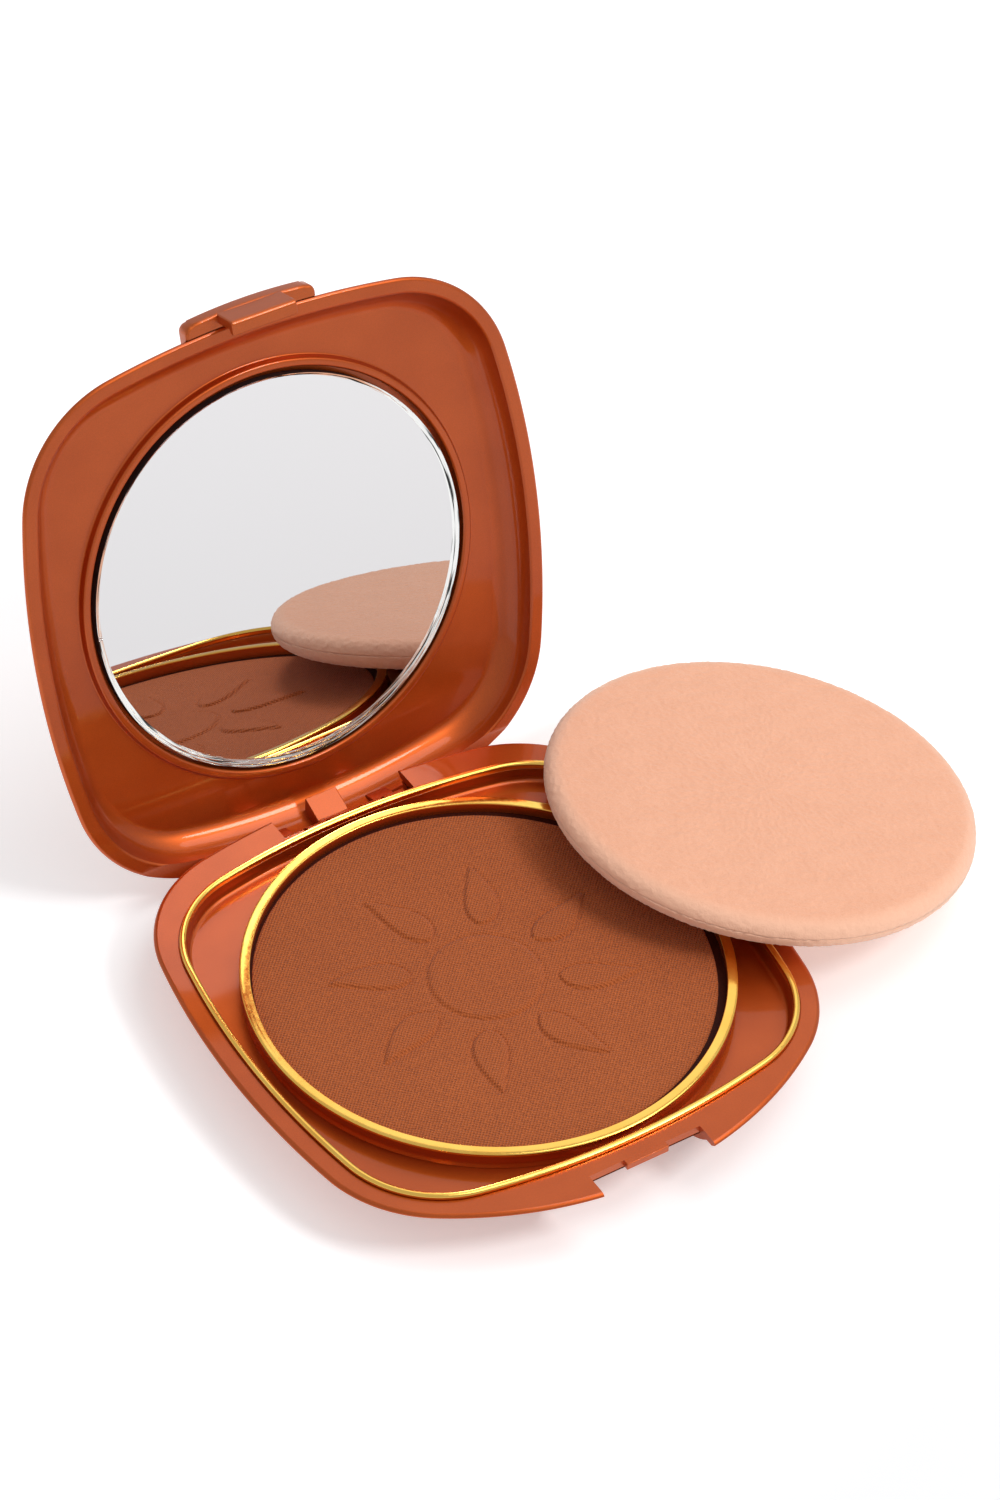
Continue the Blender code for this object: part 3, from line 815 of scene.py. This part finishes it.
def lid_section():
    """The lid frame's section as rings, each with how far its edge is rounded."""
    shape = rounded_square(*LID)
    back = LID_FLOOR_Z + 0.8
    outside = (
        (5.2, back, 0.1),
        (5.2, 15.1, 0.1),
        (3.9, 15.1, 0.3),
        (2.5, 13.78, 1.2),
        (0.7, 10.9, 0.9),
        (0.0, 10.2, 0.4),
        (0.28, LID_RIM_Z, 0.35),
        (1.85, LID_RIM_Z, 0.2),
    )
    wall_top, wall_inset, wall_width = 9.95, 2.1, 3.5
    wall_height = LID_FLOOR_Z - wall_top
    turns = [math.radians(a) for a in range(18, 91, 6)]
    lean, rise = math.cos(turns[0]), math.sin(turns[0])
    wall = [
        (
            wall_inset + wall_width * (1 - math.cos(a) / lean),
            wall_top + wall_height * (math.sin(a) - rise) / (1 - rise),
            0,
        )
        for a in turns
    ]
    section = [(round_in(shape, 27.7, z, MIRROR_Y), cut) for z, cut in ((15.5, 0), (back, 0.1))]
    section += [(inset(shape, d, z), cut) for d, z, cut in (*outside, *wall)]
    pocket = (
        (28.35, LID_FLOOR_Z, 0.25),
        (28.1, RIDGE_Z, 0.3),
        (27.2, RIDGE_Z, 0.25),
        (27.0, RIDGE_Z + 0.3, 0.1),
        (27.0, 14.85, 0),
    )
    section += [(round_in(shape, r, z, MIRROR_Y), cut) for r, z, cut in pocket]
    return section


def lid_arm(name, x_low, x_high, upper):
    """A lid knuckle, with an arm of the given upper outline up the lid's rear wall."""
    arc = [math.radians(a) for a in range(72, 361, 9)]
    return prism(name, round_pin(KNUCKLE_RADIUS, arc) + upper, x_low, x_high, KNUCKLE_BEVEL)


def make_lid_frame(finish):
    """Lid frame with its three hinge arms. The middle arm ends in a gusset on the wall."""
    rings, cuts = zip(*lid_section())
    lid = skin("lid", soften(rings, cuts, 5))
    combine(lid, [rod("rear_relief", SWING_RADIUS, 30.0, steps=120)], "DIFFERENCE")
    tall = [(36.3, 10.6), (35.6, 13.0), (32.1, 11.9), (34.3, 9.1)]
    short = [(36.3, 10.6), (35.6, 12.0), (34.6, 11.2)]
    arms = [
        lid_arm("arm_middle", -MIDDLE_ARM_HALF, MIDDLE_ARM_HALF, tall),
        lid_arm("arm_right", ARM_NEAR, ARM_FAR, short),
        lid_arm("arm_left", -ARM_FAR, -ARM_NEAR, short),
    ]
    combine(lid, arms, "UNION")
    combine(lid, [rod("lid_bore", BORE_RADIUS, NOTCH_HALF)], "DIFFERENCE")
    smooth(lid)
    settle(lid, "lid", finish, "bronze_plastic", "lid_frame")


def make_lid_cover(finish):
    """Domed plate on the lid's back. Its section holds insets, heights and roundings."""
    shape = rounded_square(*LID)
    section = (
        (15.0, 17.6, 0),
        (11.0, 17.2, 2.0),
        (7.2, 16.5, 1.8),
        (4.15, 15.4, 0.15),
        (5.4, 15.4, 0.1),
        (7.2, 15.9, 0.4),
        (11.0, 16.5, 1.0),
        (15.0, 16.8, 0),
    )
    rings = [inset(shape, d, z) for d, z, _ in section]
    cover = skin("cover", soften(rings, [cut for _, _, cut in section], 6))
    smooth(cover)
    settle(cover, "lid", finish, "bronze_plastic", "lid_cover")


def make_mirror(face, bevel, backing):
    """Mirror disc with a slightly raised ground rim, a little out of true in its pocket.

    Its faces take their material by how they are turned: silver in front, the ground rim
    about it, and the backing, near black as painted shade for the gap, on the edge and behind.
    """
    back = MIRROR_Z + MIRROR_THICKNESS
    edge = MIRROR_RADIUS - MIRROR_SLACK
    middle = MIRROR_Y + 0.7 * MIRROR_SLACK
    flat = circle(edge - BEVEL_WIDTH, MIRROR_Z, middle)
    flat[:, 0:2] -= np.array(BEVEL_SHIFT)
    rings = [flat, circle(edge, MIRROR_Z - BEVEL_RISE, middle), circle(edge, back, middle)]
    mirror = skin("mirror", rings)
    mesh = mirror.data
    streak_map = mesh.uv_layers.new(name="round_the_rim")
    for loop in mesh.loops:
        x, y, _ = mesh.vertices[loop.vertex_index].co
        y -= middle * MM
        streak_map.data[loop.index].uv = (math.atan2(y, x) * edge * MM, math.hypot(x, y))
    settle(mirror, "lid", face, "mirror", "mirror_glass")
    mesh.materials.append(bevel)
    mesh.materials.append(backing)
    facing = PLACES["lid"].to_3x3() @ Vector((0, 0, -1))
    true = PLACES["lid"].to_3x3() @ Vector(MIRROR_TILT).normalized()
    normals = []
    for polygon in mesh.polygons:
        turned = polygon.normal.dot(facing)
        silver, ground = turned > 0.999, turned > 0.5
        polygon.material_index = 0 if silver else 1 if ground else 2
        for _ in polygon.loop_indices:
            normals.append(true if silver else polygon.normal)
    mesh.shade_smooth()
    mesh.normals_split_custom_set(normals)
    mirror.visible_diffuse = False


def make_latch(finish):
    """Thumb bar on the lid's front edge, with the hook that drops into the recess."""
    half, corner = 9.2, 1.1
    inner, outer, crown = -33.5, -37.35, 0.55
    bar = [(half * t, outer - crown * (1 - t * t)) for t in np.linspace(-0.86, 0.86, 15)]
    turns = [math.radians(a) for a in range(0, 91, 15)]
    end = [
        (half - corner + corner * math.cos(a), outer + corner - corner * math.sin(a))
        for a in turns
    ]
    plan = [(half, inner), *end, *bar[::-1], *[(-x, y) for x, y in reversed(end)], (-half, inner)]
    rings = [np.array([(x, y, z) for x, y in plan]) for z in (10.0, 12.2)]
    tab = skin("latch", rings)
    round_edges(tab, 0.4, angle=50.0)
    shape = rounded_square(*LID)
    wall = ((-0.05, 9.0), (-0.05, 10.3), (0.65, 10.92), (2.45, 13.8))
    combine(tab, [skin("lid_wall", [inset(shape, *at) for at in wall])], "DIFFERENCE")
    hook = [
        (-37.75, 10.6),
        (-37.75, 6.7),
        (-37.45, 6.4),
        (-35.85, 6.4),
        (-35.85, 7.1),
        (-36.4, 7.4),
        (-36.4, 10.6),
    ]
    combine(tab, [prism("hook", hook, -4.6, 4.6, 0.3)], "UNION")
    smooth(tab)
    settle(tab, "lid", finish, "bronze_plastic", "latch_tab")


# -- Puff ---------------------------------------------------------------------


def puff_layer(name, section, finish, slot, node, seed):
    """A round layer of the puff, with its pile in the mesh and its rim of painted sheen marked on
    it.
    """
    layer = skin(name, [circle(r, z, steps=540) for r, z in section])
    count = len(layer.data.vertices)
    places, normals = np.empty(count * 3), np.empty(count * 3, np.float32)
    layer.data.vertices.foreach_get("co", places)
    reach = np.hypot(places[0::3], places[1::3]) / MM
    # The rim value marks where painted sheen lightens the velour.
    rim = layer.data.attributes.new("rim", "FLOAT", "POINT")
    pale = smoothstep((reach - PUFF_RADIUS + PAINTED_SHEEN_RIM) / PAINTED_SHEEN_BLEND)
    rim.data.foreach_set("value", pale)
    layer.data.vertex_normals.foreach_get("vector", normals)
    points = places.reshape(-1, 3) / (PILE_SIZE * MM) + seed
    lift = np.array([noise.noise(point) for point in points]) * PILE_DEPTH * MM
    places += normals * np.repeat(lift, 3)
    layer.data.vertices.foreach_set("co", places)
    layer.data.shade_smooth()
    settle(layer, "puff", finish, slot, node)
    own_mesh(layer)


def make_puff(velour_finish, foam_finish):
    """Foam disc between two velour faces that curl round to meet at its middle height."""
    middle = PUFF_UNDERSIDE_Z + PUFF_THICKNESS / 2
    half = PUFF_THICKNESS / 2
    curl, seam, depth = 2.1, 0.005, 0.7
    inner = [(0.12, half - depth), (PUFF_RADIUS - curl - 0.6, half - depth - 0.1)]
    inner += [(PUFF_RADIUS - depth, seam)]
    angles = np.linspace(0.0, math.pi / 2, 16)
    edge = [(PUFF_RADIUS - curl * (1 - math.cos(a)), curl * math.sin(a)) for a in angles]
    reaches = np.linspace(PUFF_RADIUS - curl, 0.12, 110)[1:]
    face = [(r, curl + (half - curl) * smoothstep((PUFF_RADIUS - r) / 9.0)) for r in reaches]
    section = inner + [(r, max(z, seam)) for r, z in edge + face]
    for name, sign, node, seed in (
        ("puff_top", 1, "puff_upper_velour", 3), ("puff_bottom", -1, "puff_lower_velour", 7)
    ):
        layer = [(r, middle + sign * z) for r, z in section]
        puff_layer(name, layer, velour_finish, "puff_velour", node, seed)
    core = [(PUFF_RADIUS - 4.0, -1.2), (PUFF_RADIUS - 0.9, 0.0), (PUFF_RADIUS - 4.0, 1.2)]
    core = [(r, middle + z) for r, z in core]
    puff_layer("puff_core", core, foam_finish, "puff_foam_rubber", "puff_foam", 11)


# -- Stage --------------------------------------------------------------------


def make_stage():
    """White floor, darkened towards the front by painted shade, under an even pale sky."""
    bpy.ops.mesh.primitive_plane_add(size=6.0, location=(0.0, 0.0, -0.00005))
    floor = bpy.context.object
    floor.name = "floor"
    finish = Finish("floor", Roughness=0.9, Specular_IOR_Level=0.1)
    cloud = finish.noise(400.0)
    white = finish.ramp(cloud, (0.3, (0.93, 0.93, 0.935)), (0.7, (0.95, 0.95, 0.955)))
    # Painted shade: the floor's colour and its glow grow darker towards the front.
    away = finish.node("ShaderNodeVectorMath", operation="DOT_PRODUCT")
    finish.link(finish.place, away.inputs[0])
    away.inputs[1].default_value = FLOOR_WAY
    falloff = finish.node("ShaderNodeMapRange", interpolation_type="SMOOTHSTEP")
    falloff.inputs["From Min"].default_value = 0.0
    falloff.inputs["From Max"].default_value = FLOOR_FADE
    finish.link(away.outputs["Value"], falloff.inputs["Value"])
    shade = finish.math("MULTIPLY", falloff.outputs["Result"], FLOOR_PAINTED_SHADE)
    floor_with_painted_shade = finish.mix(shade, white, (0.0, 0.0, 0.0))
    finish.shader.inputs["Emission Strength"].default_value = FLOOR_GLOW
    floor.data.materials.append(finish.set(Base_Color=floor_with_painted_shade, Emission_Color=floor_with_painted_shade))

    world = bpy.data.worlds.new("studio")
    world.use_nodes = True
    sky = world.node_tree.nodes["Background"]
    sky.inputs["Color"].default_value = (0.98, 0.99, 1.0, 1.0)
    sky.inputs["Strength"].default_value = SKY_STRENGTH
    bpy.context.scene.world = world
    bpy.context.scene.view_settings.view_transform = "Standard"


def area_light(name, place, size, energy):
    """A round soft light aimed at the compact."""
    data = bpy.data.lights.new(name, "AREA")
    data.shape = "DISK"
    data.size = size
    data.energy = energy
    light = bpy.data.objects.new(name, data)
    bpy.context.scene.collection.objects.link(light)
    light.location = place
    aim = LIGHT_TARGET - Vector(place)
    light.rotation_mode = "QUATERNION"
    light.rotation_quaternion = aim.to_track_quat("-Z", "Y")


def make_camera():
    """Camera looking down from the left front, turned a little about its own axis."""
    data = bpy.data.cameras.new("camera")
    data.lens = LENS
    data.sensor_width = SENSOR_WIDTH
    data.clip_start = 0.01
    camera = bpy.data.objects.new("camera", data)
    bpy.context.scene.collection.objects.link(camera)
    level = math.cos(ELEVATION)
    back = Vector((math.sin(AZIMUTH) * level, -math.cos(AZIMUTH) * level, math.sin(ELEVATION)))
    right = Vector((math.cos(AZIMUTH), math.sin(AZIMUTH), 0.0))
    up = back.cross(right)
    turned_right = right * math.cos(ROLL) + up * math.sin(ROLL)
    turned_up = up * math.cos(ROLL) - right * math.sin(ROLL)
    axes = Matrix((turned_right, turned_up, back)).transposed()
    camera.matrix_world = Matrix.Translation(CAMERA_PLACE) @ axes.to_4x4()
    bpy.context.scene.camera = camera


# -- The compact --------------------------------------------------------------

make_camera()
make_stage()
for light in LIGHTS:
    area_light(*light)
plain_finishes()

outer_bronze = pearl_bronze(
    "bronze_rim",
    light=(0.55, 0.104, 0.013),
    dark=(0.52, 0.096, 0.0115),
    roughness=0.46,
    coat_roughness=0.10,
)
inner_bronze = pearl_bronze(
    "bronze_gloss",
    light=(0.55, 0.095, 0.011),
    dark=(0.505, 0.083, 0.008),
    roughness=0.42,
    coat_roughness=0.06,
)
gold = gold_trim()

make_base_shell(outer_bronze)
make_inner_tray(inner_bronze)
make_bead(gold)
make_collar(gold)
make_collar_wall(inner_bronze)
make_seat(painted_shade_bronze())
make_powder(pressed_powder())
make_lid_frame(inner_bronze)
make_lid_cover(outer_bronze)
make_mirror(silver_mirror(), mirror_bevel(), mirror_backing_and_gap_shade())
make_latch(outer_bronze)
foam = Finish("puff_foam", Base_Color=(0.93, 0.68, 0.52, 1.0), Roughness=0.95)
make_puff(velour(), foam.set(Normal=foam.bump(foam.noise(0.3), 0.1)))

bpy.context.view_layer.update()
